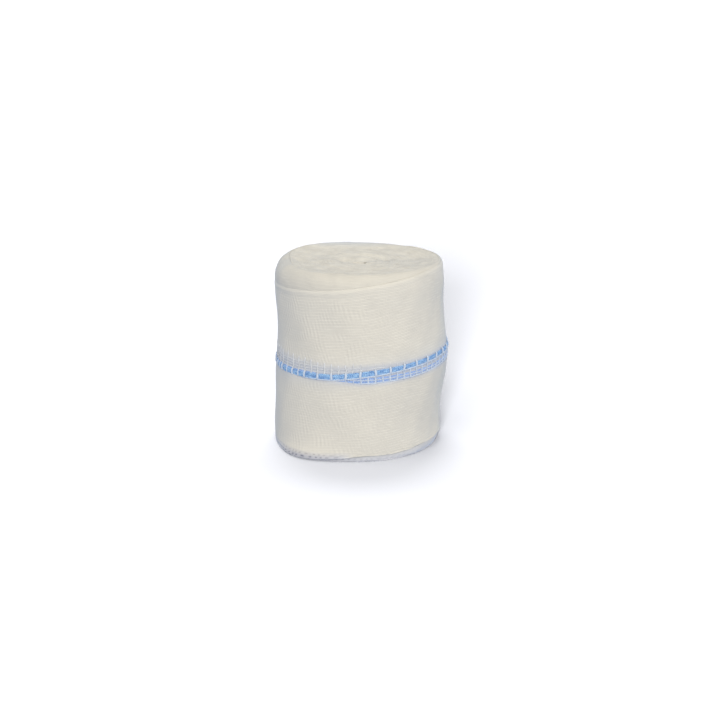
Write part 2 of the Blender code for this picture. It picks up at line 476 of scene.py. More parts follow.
def finish_piece(name, points, quads, caps, quad_uv, cap_uv, material, slot):
    """Puts point, face and map arrays into a mesh, and the mesh on the roll's body in place
    of its solid. The caps stay flat, so they don't bend the shading of the ends."""
    corners = np.concatenate([quads.ravel(), *[np.asarray(cap) for cap in caps]])
    totals = np.concatenate([np.full(len(quads), 4), [len(cap) for cap in caps]]).astype(np.int32)
    starts = np.concatenate([[0], np.cumsum(totals)[:-1]]).astype(np.int32)
    mesh = bpy.data.meshes.new(name)
    mesh.vertices.add(len(points))
    mesh.vertices.foreach_set("co", np.ascontiguousarray(points, np.float32).ravel())
    mesh.loops.add(len(corners))
    mesh.loops.foreach_set("vertex_index", corners.astype(np.int32))
    mesh.polygons.add(len(totals))
    mesh.polygons.foreach_set("loop_start", starts)
    mesh.polygons.foreach_set("loop_total", totals)
    layer = mesh.uv_layers.new(name="cloth")
    maps = np.concatenate([quad_uv.reshape(-1, 2), *[np.asarray(uv) for uv in cap_uv]])
    layer.data.foreach_set("uv", maps.astype(np.float32).ravel())
    mesh.update(calc_edges=True)
    mesh.validate()
    mesh.polygons.foreach_set("use_smooth", np.arange(len(totals)) < len(quads))
    mesh.materials.append(material)
    piece = bpy.data.objects.new(name, mesh)
    bpy.context.scene.collection.objects.link(piece)
    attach(piece, BODY)
    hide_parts(NODE)
    return piece


def swept_tube(rings, along, across):
    """Quads between rings of points (rings, points, 3) that close on themselves, and a cap on
    each end. along (rings,) and across (rings, points + 1) are the map of the cloth."""
    count, size = rings.shape[:2]
    ring = np.arange(count - 1)[:, None]
    point = np.arange(size)[None, :]
    after = (point + 1) % size
    quads = np.stack(
        [
            ring * size + point, ring * size + after,
            (ring + 1) * size + after, (ring + 1) * size + point,
        ],
        axis=-1,
    ).reshape(-1, 4)
    u = np.broadcast_to(along[:, None], across.shape)
    grid = np.stack([u, across], axis=-1)
    quad_uv = np.stack(
        [grid[:-1, :-1], grid[:-1, 1:], grid[1:, 1:], grid[1:, :-1]], axis=2
    ).reshape(-1, 4, 2)
    caps = [np.arange(size)[::-1], (count - 1) * size + np.arange(size)]
    cap_uv = [grid[0, :-1][::-1], grid[-1, :-1]]
    return rings.reshape(-1, 3), quads, caps, quad_uv, cap_uv


def joined(parts):
    """Several outputs of swept_tube as one."""
    points, quads, caps, quad_uv, cap_uv, first = [], [], [], [], [], 0
    for part in parts:
        points.append(part[0])
        quads.append(part[1] + first)
        caps.extend(cap + first for cap in part[2])
        quad_uv.append(part[3])
        cap_uv.extend(part[4])
        first += len(part[0])
    return np.concatenate(points), np.concatenate(quads), caps, np.concatenate(quad_uv), cap_uv


def thread(middle, normal, width, height, sides, start=0.0):
    """A yarn of elliptic section along a path (points, 3): width lies along the cloth and
    height stands up from it, and both may vary along the path."""
    tangent = np.gradient(middle, axis=0)
    tangent /= np.linalg.norm(tangent, axis=1, keepdims=True)
    beside = np.cross(normal, tangent)
    beside /= np.linalg.norm(beside, axis=1, keepdims=True)
    turned = np.linspace(0, TAU, sides, endpoint=False)
    width = np.broadcast_to(width, len(middle))[:, None, None]
    height = np.broadcast_to(height, len(middle))[:, None, None]
    rings = (
        middle[:, None]
        + beside[:, None] * np.cos(turned)[None, :, None] * width / 2
        + normal[:, None] * np.sin(turned)[None, :, None] * height / 2
    )
    steps = np.linalg.norm(np.diff(middle, axis=0), axis=1)
    along = start + np.concatenate([[0], np.cumsum(steps)])
    across = np.linspace(0, 1, sides + 1)[None, :] * math.pi * width[:, :, 0]
    return swept_tube(rings[:, ::-1], along, across)


# ---------------------------------------------------------------- finishes

class Value:
    """One socket of a node tree. Arithmetic on it adds Math nodes."""

    def __init__(self, tree, socket):
        self.tree = tree
        self.socket = socket

    def math(self, operation, *others, first=None):
        node = self.tree.nodes.new("ShaderNodeMath")
        node.operation = operation
        terms = [self, *others] if first is None else [first, self]
        for slot, term in zip(node.inputs, terms):
            if isinstance(term, Value):
                self.tree.links.new(term.socket, slot)
            else:
                slot.default_value = term
        return Value(self.tree, node.outputs[0])

    def __add__(self, other):
        return self.math("ADD", other)

    def __sub__(self, other):
        return self.math("SUBTRACT", other)

    def __mul__(self, other):
        return self.math("MULTIPLY", other)

    def __truediv__(self, other):
        return self.math("DIVIDE", other)

    def __rsub__(self, other):
        return self.math("SUBTRACT", first=other)

    __radd__ = __add__

    def floor(self):
        return self.math("FLOOR")

    def fraction(self):
        return self.math("FRACT")

    def absolute(self):
        return self.math("ABSOLUTE")

    def cosine(self):
        return self.math("COSINE")

    def sine(self):
        return self.math("SINE")

    def clamped(self):
        return self.math("MAXIMUM", 0.0).math("MINIMUM", 1.0)


class Finish:
    """A material with one Principled shader, and a way to add nodes to it."""

    def __init__(self, name, roughness):
        self.material = bpy.data.materials.new(name)
        self.material.use_nodes = True
        self.tree = self.material.node_tree
        self.shader = self.tree.nodes["Principled BSDF"]
        self.shader.inputs["Roughness"].default_value = roughness
        self.shader.inputs["Specular IOR Level"].default_value = 0.25

    def add(self, kind, settings=(), output=0, **inputs):
        """A node of any kind: its settings first, then the values or links of its sockets,
        named with _ for a blank or numbered as in_0."""
        node = self.tree.nodes.new(kind)
        for name, value in dict(settings).items():
            setattr(node, name, value)
        for name, value in inputs.items():
            key = int(name[3:]) if name.startswith("in_") else name.replace("_", " ")
            self.connect(node.inputs[key], value)
        return Value(self.tree, node.outputs[output])

    def connect(self, slot, value):
        if isinstance(value, Value):
            self.tree.links.new(value.socket, slot)
        else:
            slot.default_value = value

    def set(self, name, value):
        self.connect(self.shader.inputs[name], value)

    def mix(self, share, first, second):
        """A colour between two colours."""
        return self.add(
            "ShaderNodeMix", {"data_type": "RGBA", "blend_type": "MIX"}, output=2,
            in_0=share, in_6=first, in_7=second,
        )

    def bump(self, height, distance):
        self.set("Normal", self.add("ShaderNodeBump", Height=height, Distance=distance))


def rgba(value):
    return (*value, 1.0)


def scaled(value, share):
    return tuple(share * part for part in value)


def ply_groove_shade(value):
    """Painted shade: the colour of a yarn darkened in the grooves between its plies."""
    return scaled(value, 0.86)


def cloth_map(finish):
    """The cloth's own map: metres along the bandage and round the tube."""
    uv = finish.add("ShaderNodeUVMap", {"uv_map": "cloth"})
    parts = finish.add("ShaderNodeSeparateXYZ", Vector=uv)
    return uv, parts, Value(finish.tree, parts.socket.node.outputs["Y"])


def knit(name, sizes, colours, fold_shade=0.0, mottle=0.0, cotton=1.0, sheen=0.22):
    """Plain knit. Each row is a chain of V-shaped stitches whose two legs lean together. The
    rows show in patches, with painted shade between them; a grain of fibres, soft clouds and,
    on the left, the painted shade of slanting loose folds lie over them, and mottles that cross
    from turn to turn. Painted shade darkens the cloth towards the bottom, more on the left, and
    the far rim of the top is greyer, as painted cool shade. A cotton share below 1 darkens the
    cream of a whole piece, as painted shade. Attributes of the mesh say where the ladder band
    opens the cloth, with painted shade deep in it and a painted blue bounce light of the marker
    yarn round it, and where the foot is a strip of open loops in painted shade with two rows of
    painted dark gaps of shadow."""
    finish = Finish(name, roughness=0.88)
    uv, along, across = cloth_map(finish)

    def noise(along_rate, across_rate, detail):
        return finish.add(
            "ShaderNodeTexNoise",
            Vector=finish.add("ShaderNodeMapping", Vector=uv, Scale=(along_rate, across_rate, 1.0)),
            Scale=1.0, Detail=detail,
        )

    def read(name):
        return finish.add("ShaderNodeAttribute", {"attribute_name": name}, output=2)

    row = across / sizes.row
    from_middle = ((row.fraction() - 0.5).absolute()) * 2.0
    leg = from_middle * (1.0 - from_middle) * 4.0
    drift = noise(70.0, 110.0, 1.0)
    course = along / sizes.course + from_middle * 0.45 + drift * 4.0
    chain = (course * TAU).cosine() * 0.5 + 0.5
    stitch = leg * (chain * 0.12 + 0.88)
    fibres = finish.add("ShaderNodeTexNoise", Vector=uv, Scale=5200.0, Detail=2.0)
    patches = (noise(130.0, 240.0, 1.0) * 4.0 - 1.6).clamped()
    each_row = finish.add("ShaderNodeCombineXYZ", X=along * 300.0, Y=row.floor() * 7.3)
    lengths = finish.add("ShaderNodeTexNoise", Vector=each_row, Scale=1.0, Detail=0.0)
    lit = ((lengths - 0.5) * 3.0 + 0.5).clamped()
    slant = along / (1.6 * MM) + across / (5.0 * MM) + drift * 2.2
    left = (0.40 - along / (45 * MM)).clamped()
    plain = 0.92 - left * 0.42
    space = finish.add("ShaderNodeTexCoord", output=3)    # Object coordinates
    depth = finish.add("ShaderNodeSeparateXYZ", output=1, Vector=space)
    height = Value(finish.tree, depth.socket.node.outputs["Z"])
    # where the painted shade of the folds shows: in patches, below the shoulder
    folds = (noise(190.0, 150.0, 1.0) * 3.2 - 1.0).clamped()
    folds = folds * ((67 * MM - height) / (5 * MM)).clamped()
    mottles = finish.add(
        "ShaderNodeTexNoise", Vector=space, Scale=190.0, Detail=4.0, Roughness=0.62
    )
    light = (
        0.62
        # painted shade: each row lighter in its middle and darker between the rows
        + (0.5 - from_middle) * lit * (patches * 0.50 + 0.22) * plain    # rows
        + (lengths - 0.5) * (patches * 0.40 + 0.30) * plain              # lengths of a row
        + (fibres - 0.5) * 0.60
        + (noise(45.0, 90.0, 3.0) - 0.5) * 0.45                          # clouds
        # painted shade of slanting loose folds on the left
        + (slant * TAU).cosine() * left * (1.1 - patches) * folds * fold_shade
        + (mottles - 0.5) * mottle
    )
    base = finish.mix(
        light.clamped(), rgba(scaled(colours.shade, cotton)), rgba(scaled(colours.cotton, cotton))
    )
    # Painted shade: the cloth darker towards the bottom, more on the left.
    low_shade = (1.0 - height / (70 * MM)).clamped()
    base = finish.mix(low_shade * (left * 0.30 + 0.02), base, rgba(colours.shade))
    # Painted blue bounce light of the marker yarn round its line.
    base = finish.mix(read("haze") * 0.38, base, rgba(colours.haze))
    # Painted shade deep in the open ladder band.
    base = finish.mix(read("open_band_shade"), base, rgba(colours.open_band_shade))

    # Painted cool shade on the far rim of the top: behind the middle and near its height.
    back_rim_shade = ((depth - 23 * MM) / (8 * MM)).clamped() * ((height - 70 * MM) / (3 * MM)).clamped()
    base = finish.mix(back_rim_shade * 0.85, base, rgba(colours.far_rim_shade))

    # Painted shade on the strip of loops at the foot, and painted shadow in two rows of its gaps.
    foot, strength = read("foot"), read("gaps")
    gaps = 0.0
    for level, shift in ((0.74, 0.0), (0.38, 0.45)):
        away = (foot - level - (drift - 0.5) * 0.2) / 0.13
        beat = ((along / (2.6 * MM) + drift * 4.0 + shift) * TAU).cosine()
        dash = ((beat + lengths * 0.9 - 0.15) * 0.9).clamped()
        gaps = (1.0 - away * away).clamped() * dash + gaps
    loops = finish.mix(
        ((gaps * 0.50 + 0.52) * strength).clamped(), rgba(colours.loops), rgba(colours.loop_gap_shadow)
    )
    base = finish.mix((foot * 1.35).clamped() * 0.9, base, loops)
    finish.set("Base Color", base)
    finish.bump(stitch * plain + fibres * 0.5, 0.00008)
    finish.shader.inputs["Sheen Weight"].default_value = sheen
    finish.shader.inputs["Sheen Roughness"].default_value = 0.35
    finish.shader.inputs["Sheen Tint"].default_value = SHEEN_TINT
    return finish.material


def yarn(name, light, deep, twist):
    """A plied yarn: slanting plies round it, with fibre grain, and the deep colour as painted shade
    between the plies and in random patches.
    """
    finish = Finish(name, roughness=0.8)
    uv, along, across = cloth_map(finish)
    ply = ((along / twist + across / twist) * TAU).sine() * 0.5 + 0.5
    fibres = finish.add("ShaderNodeTexNoise", Vector=uv, Scale=6000.0, Detail=2.0)
    patches = finish.add("ShaderNodeTexNoise", Vector=uv, Scale=520.0, Detail=1.0)
    # painted shade between the plies, with random fibre and patch tone
    share = (ply * 0.4 + fibres * 0.5 + patches * 2.2 - 1.0).clamped()
    finish.set("Base Color", finish.mix(share, rgba(deep), rgba(light)))
    finish.bump(ply + fibres * 0.6, 0.0001)
    finish.shader.inputs["Sheen Weight"].default_value = 0.1
    return finish.material


# ---------------------------------------------------------------- cloth

def cloth_width_map(turn, heights, slip):
    """Where a height lies across the knit. Rows follow the marker line and sway a little."""
    along = angle_of(turn) * MEAN_RADIUS
    sway = 0.45 * MM * waves(11, 5, 16 * MM, 45 * MM, along, heights)
    return heights - slip + sway


def pressed_tube(turn, lower, upper, outer_shares, inner_shares, slip, sizes, banded=False):
    """One length of the pressed tube, as rings: up the outer face, over the upper fold, down
    the inner face and under the lower fold. The outer face carries the rows as ridges, soft
    puckers, which fade beside the upper edge of the last turn, the loose loops of the foot
    and, where it is banded, the ladder band as a shallow trough and the ridge of the upper
    fold. The last result is what the finish reads."""
    half = sizes.thickness / 2
    turn = turn[:, None]
    apart = 1 - wrapped_share(turn) if banded else under_share(turn)
    edge = EDGE_THIN * apart if banded else 0 * turn
    low, high = lower[:, None] + half, upper[:, None] - half
    fold = np.linspace(0, math.pi, 9)[1:-1]
    outer = low + (high - low) * outer_shares[None, :]
    inner = low + (high - low) * inner_shares[None, ::-1]

    width_map = cloth_width_map(turn, outer, slip[:, None])
    rows = sizes.row_relief * -np.cos(TAU * width_map / sizes.row)
    along = angle_of(turn) * MEAN_RADIUS
    rim = upper[:, None] if banded else upper_edge(turn + 1, sizes)
    calm = 1 - apart * np.exp(-(((outer - rim) / PUCKER_CALM) ** 2))
    pucker = PUCKER * calm * waves(23, 7, 9 * MM, 30 * MM, along, outer)
    if banded:
        band = ladder_band(turn, outer)
        # painted shade of the open band, reaching a little beyond the band itself
        band_shade_share = 0.85 * ladder_band(turn, outer, 1.2 * MM)
        # share of the painted blue bounce light round the marker line
        haze = np.exp(-(((outer - last_table(turn, "marker")) / (4.5 * MM)) ** 2))
        below = (upper[:, None] - outer) / MM
        ridge = RIDGE * apart * upper_ridge(below) - edge * half * np.exp(-((below / 0.9) ** 2))
    else:
        band = ridge = band_shade_share = haze = np.zeros_like(outer)
    # foot: where the finish paints the shade of the loop strip; gaps: how dark its painted shadow is
    foot, loops, gaps = loose_foot(turn, outer - lower[:, None], banded)
    place, normal, _ = cloth_frame(turn, outer, sizes)
    lift = (rows + pucker) * (1 - band) - band * TROUGH + loops + ridge
    outer_face = place + normal * (half + lift)[..., None]

    def over_fold(at, turned, way, swell):
        place, normal, tangent = cloth_frame(turn, at, sizes)
        across = normal[:, :1] * np.cos(turned)[None, :, None]
        outwards = way * tangent[:, :1] * np.sin(turned)[None, :, None]
        swell = half * (swell + 0.08 * waves(31, 6, 3 * MM, 14 * MM, along))[..., None]
        return place[:, :1] + (across + outwards) * swell

    upper_fold = over_fold(high, fold, 1.0, 1.12 - edge)
    place, normal, _ = cloth_frame(turn, inner, sizes)
    inner_face = place - normal * half
    lower_fold = over_fold(low, math.pi - fold, -1.0, 1.0)

    flat = np.concatenate([outer_face, upper_fold, inner_face, lower_fold], axis=1)
    rings = around(angle_of(turn), flat)
    arcs = half * (fold[None, :] + np.zeros_like(turn))
    top = width_map[:, -1:]
    back = top + math.pi * half
    under = back + (high - low)
    across = np.concatenate(
        [width_map, top + arcs, back + (high - inner), under + arcs, under + math.pi * half],
        axis=1,
    )
    rest = np.zeros((len(turn), inner.shape[1] + len(fold)))
    read = {
        name: np.concatenate([share, rest, np.repeat(share[:, :1], len(fold), axis=1)], axis=1)
        for name, share in (
            ("open_band_shade", band_shade_share), ("haze", haze), ("foot", foot), ("gaps", gaps)
        )
    }
    return rings, along[:, 0], across, read


def loose_foot(turn, above, banded):
    """The strip of open loops at the foot, by the height above the lower edge: a share that
    goes from 1 at the edge to 0 at the top of the strip, where the finish paints shade, how far
    the loops stand in or out, as short waves that die away upwards, and how dark the painted
    shadow in the gaps between them is, darkest where the edge spreads. On the last turn the
    strip ends at the front; on the turn under it, it reaches up to the last turn."""
    angle = angle_of(turn)
    wrapped = (angle + math.pi) % TAU - math.pi
    spread = np.exp(-(((wrapped - FLARE_AT) / (1.1 * FLARE_WIDTH)) ** 2))
    under = 1 - eased((turn - LAST_START) / 0.08) if banded else 1.0
    rise = LOOPS_RISE + 0.6 * last_table(turn + 1, "lower") * under
    shown = 1 - eased((angle + math.radians(14)) / math.radians(12)) if banded else 1.0
    plain = 0.24 - 0.16 * eased((wrapped - math.radians(15)) / math.radians(30))
    loops = 0.25 * MM * waves(131, 7, 1.6 * MM, 4 * MM, angle * MEAN_RADIUS, 2.5 * above)
    near = np.exp(-((above / (0.7 * LOOPS_RISE)) ** 2)) * (0.25 + 0.75 * spread)
    foot = np.clip(1 - above / rise, 0, 1) * shown
    return foot, loops * near, (plain + 0.66 * spread) * shown + 0 * above


def upper_ridge(below):
    """The puffed upper fold by the distance below it, in millimetres: one bell that stands
    out and a lower one, 0.6 times as high, that lies in."""
    return np.exp(-(((below - 1.3) / 0.8) ** 2)) - 0.6 * np.exp(-(((below - 3.2) / 1.2) ** 2))


def ladder_band(turn, heights, more=0.0):
    """How open the ladder band is: 1 at the marker line, easing slowly to 0 at its reach above
    the line and quickly at its reach below it, both with a little more added."""
    away = heights - last_table(turn, "marker")
    above, below = last_table(turn, "above") + more, last_table(turn, "below") + more
    return eased(np.where(away > 0, (1 - away / above) / 0.7, (below + away) / (1.3 * MM + more)))


def finish_cloth(name, tube, finish):
    """An output of pressed_tube as a piece, with the numbers that its finish reads stored at
    every vertex."""
    rings, along, across, read = tube
    piece = finish_piece(name, *swept_tube(rings, along, across), finish, "cotton_gauze")
    for share, values in read.items():
        attribute = piece.data.attributes.new(share, "FLOAT", "POINT")
        attribute.data.foreach_set("value", values.astype(np.float32).ravel())
    return piece


def build_last_turn(sizes, colours):
    """The last turn, from under its own end round to the cut end."""
    turn = np.linspace(LAST_START, TURNS, sizes.last_steps)
    lower = last_table(turn, "lower")
    upper = upper_edge(turn, sizes)
    slip = last_table(turn, "marker") - WIDTH / 2
    tube = pressed_tube(
        turn, lower, upper, np.linspace(0, 1, 252), np.linspace(0, 1, 24), slip, sizes,
        banded=True,
    )
    piece = finish_cloth("last_turn", tube, knit("last_turn_knit", sizes, colours, fold_shade=0.48))


def build_under_turn(sizes, colours):
    """The turn under the last one. Its upper part curls over the shoulder to the crest."""
    turn = np.linspace(UNDER_START, LAST_START, 250)
    lower = 0.12 * MM * (1 + waves(149, 8, 4 * MM, 30 * MM, angle_of(turn) * MEAN_RADIUS))
    lower = np.maximum(lower, 0)
    upper = upper_edge(turn, sizes)
    shares = np.concatenate([
        np.linspace(0, 0.13, 36), np.linspace(0.16, 0.78, 12), np.linspace(0.8, 1, 60)
    ])
    slip = last_table(turn + 1, "under") - WIDTH / 2
    tube = pressed_tube(turn, lower, upper, shares, np.linspace(0, 1, 16), slip, sizes)
    # The cream is darker on this turn, as painted shade on the shoulder.
    finish = knit("under_turn_knit", sizes, colours, mottle=0.8, cotton=0.90)
    piece = finish_cloth("under_turn", tube, finish)


def winding_steps(sizes):
    """Places along the inner turns: even angles in the core and even distances outside it."""
    core = np.linspace(0, 6, 6 * 40, endpoint=False)
    inner_shift = TURNS - GROWTH_AT - MEAN_RADIUS / sizes.pitch
    reach = np.array([6.0, UNDER_START]) - inner_shift
    lengths = np.arange(reach[0] ** 2, reach[1] ** 2, 2 * 1.4 * MM / (TAU * sizes.pitch))
    return np.concatenate([core, inner_shift + np.sqrt(lengths), [UNDER_START]])


def top_height(turn, angle, radius, along):
    """Upper end of the inner turns. It sinks by a sine law from the crest to the middle. On
    it lie the lumps of the table, as bells, soft waves, and turns that slipped alone or in
    groups."""
    inward = np.clip(1 - radius / crest_radius(angle), 0, 1)
    loose = np.minimum(inward * 8, 1)
    x, y = radius * np.sin(angle), -radius * np.cos(angle)
    bells = 0.0
    for lump_x, lump_y, spread, height in LUMPS:
        away = ((x / MM - lump_x) ** 2 + (y / MM - lump_y) ** 2) / spread**2
        bells = bells + height * MM * np.exp(-away)
    return (
        crest_height(angle)
        - TOP_SINK * np.sin(np.minimum(inward * 2.2, 1) * math.pi / 2)
        + bells * loose
        + 0.14 * MM * waves(37, 9, 4 * MM, 12 * MM, x, y) * loose
        + 0.07 * MM * waves(41, 5, 4.5, 13.0, turn) * loose
        + 0.04 * MM * waves(43, 8, 35 * MM, 160 * MM, along) * loose
        + 0.03 * MM * waves(47, 10, 5 * MM, 16 * MM, along) * loose
    )


def build_wound_turns(sizes, colours):
    """All turns inside the last two. Each is a pressed tube with round folds; the folds form
    the two ends of the roll, where turns stand at uneven heights in groups and lumps."""
    turn = winding_steps(sizes)
    angle = angle_of(turn)
    middle = MEAN_RADIUS + sizes.pitch * (GROWTH_AT - (TURNS - turn)) - sizes.thickness / 2
    step = np.diff(turn, prepend=turn[0]) * TAU * np.maximum(middle, 0.5 * MM)
    along = np.cumsum(step)

    def top_of(offset):
        """The upper end at a distance outwards from the middle of the turn, limited to below
        the turn that curls over it."""
        radius = middle[:, None] + offset
        crest = crest_radius(angle)[:, None]
        laid = turn[:, None] + offset / sizes.pitch
        top = top_height(laid, angle[:, None], radius, along[:, None])
        past = np.clip((radius + sizes.thickness / 4 - crest) / reach[:, None], 0, 0.995)
        roof = shoulder_height(angle)[:, None] + rise[:, None] * np.sqrt(1 - past**2)
        under = eased((radius - crest) / (0.5 * sizes.thickness) + 0.5)
        top = top - 0.1 * MM
        return top + (np.minimum(top, roof - 0.6 * sizes.thickness) - top) * under

    over = TURNS - 2 + (turn - UNDER_START) % 1 - (TURNS - UNDER_START - 2) % 1
    over = np.where(over < UNDER_START, over + 1, over)
    reach, rise, _ = shoulder_arc(over, sizes)
    uneven = 0.35 * MM * waves(53, 6, 2.0, 6.0, turn)
    bottom = np.clip(uneven + 0.15 * MM * waves(59, 8, 12 * MM, 90 * MM, along), 0, None)

    half = 0.515 * sizes.pitch
    swell = half * (1.02 + 0.06 * waves(61, 8, 3 * MM, 12 * MM, along))
    lean = 0.10 * MM * waves(67, 8, 14 * MM, 60 * MM, along)
    turned = np.linspace(0, math.pi, 9)[None, :]
    groove = 0.05 * MM * (1 - np.sin(turned))
    half, swell, lean = half + 0 * turn[:, None], swell[:, None], lean[:, None]
    over_top = swell * np.cos(turned) + lean * np.sin(turned)
    shares = np.array([[0.8, 0.6, 0.4, 0.2]])
    side = half * np.ones_like(shares)
    offsets = np.concatenate([over_top, -side, -half * np.cos(turned), side], axis=1)
    top, bottom = top_of(0 * half), bottom[:, None]
    tall = top - bottom
    heights = np.concatenate(
        [
            top_of(over_top) - groove, bottom + tall * shares,
            bottom + groove, bottom + tall * shares[:, ::-1],
        ],
        axis=1,
    )

    inward = (TURNS - turn)[:, None]
    shape = (wall_radius(angle[:, None], heights) - MEAN_RADIUS) * np.exp(-inward / 10)
    foot = foot_inset(angle[:, None], heights) * np.exp(-(inward - 1) / 6)
    below_top = 1 - eased((heights - 62 * MM) / (6 * MM))
    radius = middle[:, None] + offsets + shape * below_top - foot
    flat_fold = CORE_HALF * np.exp(-((middle / CORE_FADE) ** 2)) * np.tanh(
        2.5 * np.cos(angle - CORE_AXIS)
    )
    rings = around(angle[:, None], np.stack([radius, heights], axis=-1))
    rings[..., 0] += (flat_fold * math.sin(CORE_AXIS))[:, None]
    rings[..., 1] -= (flat_fold * math.cos(CORE_AXIS))[:, None]
    rings = rings[:, ::-1]

    gaps = np.hypot(
        np.diff(offsets[:, ::-1], axis=1, append=offsets[:, -1:]),
        np.diff(heights[:, ::-1], axis=1, append=heights[:, -1:]),
    )
    across = np.concatenate([np.zeros((len(turn), 1)), np.cumsum(gaps, axis=1)], axis=1)
    piece = finish_piece(
        "wound_turns", *swept_tube(rings, along, across),
        # the cream a little darker here, as painted shade on the top
        knit("wound_turns_knit", sizes, colours, mottle=2.2, cotton=0.975, sheen=0.08),
        "cotton_gauze",
    )


# ---------------------------------------------------------------- marker line and threads

def crossing_count(angle):
    """Number of crossing threads from the front to an angle: even steps, and longer ones on
    the left by a cubic law."""
    left = np.clip((-angle - math.radians(5)) / math.radians(59), 0, 1)
    return (angle - CROSSING_AT + CROSSING_WARP * left**3) / CROSSING_STEP


def crossing_turns(parts):
    """Places on the last turn at every whole crossing, or at each of so many parts of one, with
    the numbers of the parts."""
    turn = np.linspace(TURNS - 1, TURNS, 2000)
    count = crossing_count(angle_of(turn)) * parts
    whole = np.arange(math.ceil(count[0]), math.floor(count[-1]) + 1)
    return np.interp(whole, count, turn), whole


def near_crossing(turn, reach, shift=0.0):
    """1 under a crossing thread and 0 away from one, as a bell of the given reach."""
    count = crossing_count(angle_of(turn)) + shift
    away = (count - np.round(count)) * CROSSING_STEP * MEAN_RADIUS
    return np.exp(-((away / reach) ** 2))


def marker_strands(turn, line, lift, offsets, size, sizes, seed):
    """Parallel strands along a line on the cloth, drawn together under each crossing and
    slimmer towards the right."""
    pinch = near_crossing(turn, 0.6 * MM)
    along = angle_of(turn) * MEAN_RADIUS
    slim = 1 - 0.28 * eased((angle_of(turn) + math.radians(10)) / math.radians(75))
    parts = []
    for number, offset in enumerate(offsets):
        sway = 0.06 * MM * waves(seed + number, 6, 2.5 * MM, 9 * MM, along)
        height = line + offset * (1 - 0.24 * pinch) * slim + sway
        up = lift + 0.10 * MM * (1 - (offset / offsets[-1]) ** 2) - 0.14 * MM * pinch
        middle, normal = on_last_turn(turn, height, up, sizes)
        width = size * (1 - 0.15 * pinch) * slim
        parts.append(thread(middle, normal, width, size, 8, start=offset * 9))
    return parts


def finish_threads(name, parts, finish_name, light, deep=None):
    """Several threads as one piece: of blue yarn if a deep colour, the painted shade between its
    plies, is given, or else white.
    """
    if deep is None:
        finish = yarn(finish_name, light, ply_groove_shade(light), THREAD_PLY)
        slot = "crossing_yarn"
    else:
        finish = yarn(finish_name, light, deep, MARKER_PLY)
        slot = "marker_yarn"
    finish_piece(name, *joined(parts), finish, slot)


def build_marker(sizes, colours):
    """The marker yarn on the last turn, and the stretch of the turn below that shows."""
    turn = np.linspace(LAST_START, TURNS + 0.008, 36 * 14)
    offsets = np.array([-0.82, -0.41, 0.0, 0.41, 0.82]) * MM
    line = last_table(turn, "marker")
    parts = marker_strands(turn, line, 0.06 * MM, offsets, sizes.strand, sizes, 71)
    finish_threads(
        "marker_yarn", parts, "marker_finish", colours.marker, colours.marker_ply_shade
    )

    turn = np.linspace(TURNS - 0.985, TURNS - 0.01, 36 * 12)
    offsets = np.array([-0.86, -0.46, 0.46, 0.86]) * MM
    line = last_table(turn, "under")
    parts = marker_strands(turn, line, -0.22 * MM, offsets, 0.46 * MM, sizes, 83)
    finish_threads(
        "under_marker_yarn", parts, "under_marker_finish",
        colours.under_marker, colours.under_ply_shade,
    )


